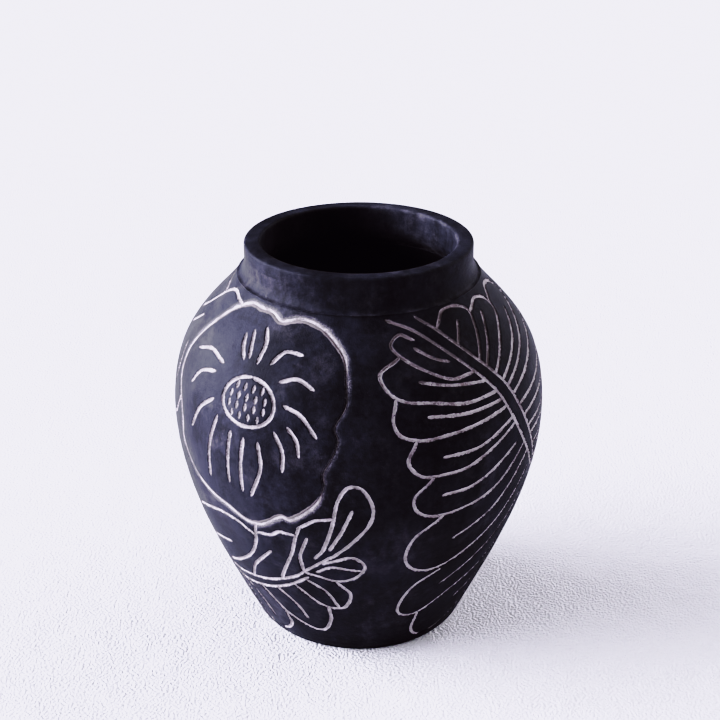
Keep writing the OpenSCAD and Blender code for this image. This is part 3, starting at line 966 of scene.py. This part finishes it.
def lip_wear_and_painted_light(r, z, turn):
    """The mouth's edge is worn a little all round; it is paler still at the back right, which is
    painted light where the window light falls.
    """
    edge = max(0.0, 1 - abs(r - mouth_r) / (1.4 * MM))
    high = max(0.0, 1 - (lip_top - z) / (4 * MM))
    # Painted light: the mouth's edge is painted paler towards the back right, where the window light
    # falls on the inside of the lip.
    painted_lit_side = max(0.0, cos(turn - radians(125)))
    return (0.03 + 0.22 * painted_lit_side) * edge * high


lip = plain_ring("clay_lip_coil", lip_outline, ["lip_coil"], 220, lip_wear_and_painted_light)
foot_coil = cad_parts["foot_coil"]
foot_coil.data.materials.clear()
foot_coil.data.materials.append(plain_clay)

# %% [markdown]
# ## The slip in the lines
# Pale slip is rubbed over the carving and wiped off, so it stays as a thin lining in each
# groove, thicker in the middle and torn at its edges. A closed loop stands across the line at
# every other walked step, with its top at the groove's own depth, and the loops are joined up.
# A thickness from a modifier would throw out spikes where the strip gets very narrow.


# %% The slip's material
def pale_slip():
    material, tree, shader = new_material("rubbed_pale_slip")
    place = object_space(tree)
    patches = noise_value(tree, place, 190.0, 5.0, 0.7)
    grain = noise_value(tree, place, 1300.0, 3.0, 0.7)
    pits = noise_value(tree, place, 760.0, 2.0, 0.5)
    worn = math_of(tree, "ADD", math_of(tree, "MULTIPLY", patches, 0.6),
                   math_of(tree, "MULTIPLY", grain, 0.4))
    worn = math_of(tree, "SUBTRACT", worn, remap(tree, attribute(tree, "kept"), 0.0, 1.0, 0.16, 0.0))
    colour = mix_colours(tree, remap(tree, worn, 0.38, 0.58), SLIP_BROWN, SLIP_PALE)
    colour = mix_colours(tree, remap(tree, pits, 0.62, 0.72, 0.0, 0.8), colour, CLAY_SMOKE)
    tree.links.new(colour, shader.inputs["Base Color"])
    shader.inputs["Roughness"].default_value = 0.92
    shader.inputs["Specular IOR Level"].default_value = 0.2
    normal = bump(tree, patches, 0.5, 0.0005)
    normal = bump(tree, grain, 0.8, 0.0003, normal)
    tree.links.new(normal, shader.inputs["Normal"])
    return material


slip = pale_slip()
print("slip", slip.name)

# %% Lay a strip of slip along each line
strip_stations = 2
strip_across = 6
slip_thickness = 0.3 * MM


def slip_height(across, half, place, slanted):
    """Height of the slip's face against the true surface, at a distance across its line."""
    depth = outline_depth(across, half) if slanted else line_depth(across, half)
    share = abs(across) / half
    lumps = 0.12 * MM * noise.noise(place * 700)
    return -depth + (0.30 * MM + lumps) * max(0.0, 1 - share * share) - 0.05 * MM


def slip_edges(half, place, kept, slanted):
    """Where the slip begins and ends across its line. The outline's lies on the slope only."""
    torn = [1 + 0.34 * noise.noise(place * 1100 + Vector((0, 0, 7 * side))) for side in (-1, 1)]
    if slanted:
        ragged = 1 + 0.6 * noise.noise(place * 420 + Vector((0, 0, 5)))
        return 0.02 * half, half * (0.05 + max(0.14, 0.72 * kept * torn[1] * ragged))
    width = 0.92 * half * (0.7 + 0.3 * kept)
    return -width * torn[0], width * torn[1]


def lay_strip(bm, steps, slanted):
    """Slip along the steps of one line: a row of closed loops, face out and back in, joined up."""
    kept_layer = bm.verts.layers.float["kept"]
    stations = steps[::strip_stations] + [steps[-1]]
    loops = []
    for place, out, across, half, kept in stations:
        low, high = slip_edges(half, place, kept, slanted)
        loop = []
        for i in list(range(strip_across)) + list(range(strip_across - 1, -1, -1)):
            offset = low + (high - low) * i / (strip_across - 1)
            spot = place + across * offset
            height = slip_height(offset, half, spot, slanted) + handmade(place) + boss(place)
            if len(loop) >= strip_across:
                height -= slip_thickness
            loop.append(bm.verts.new(spot + out * height))
            loop[-1][kept_layer] = kept
        loops.append(loop)
    for loop, following in zip(loops, loops[1:]):
        for i in range(len(loop)):
            j = (i + 1) % len(loop)
            bm.faces.new((loop[i], loop[j], following[j], following[i]))
    bm.faces.new(loops[0])
    bm.faces.new(reversed(loops[-1]))


for name, lines in walks.items():
    bm = bmesh.new()
    bm.verts.layers.float.new("kept")
    for steps in lines:
        lay_strip(bm, steps, name.endswith("outline_slip"))
    bmesh.ops.recalc_face_normals(bm, faces=bm.faces)
    finish_piece(bm, "rubbed_" + name, slip, [name], 60)
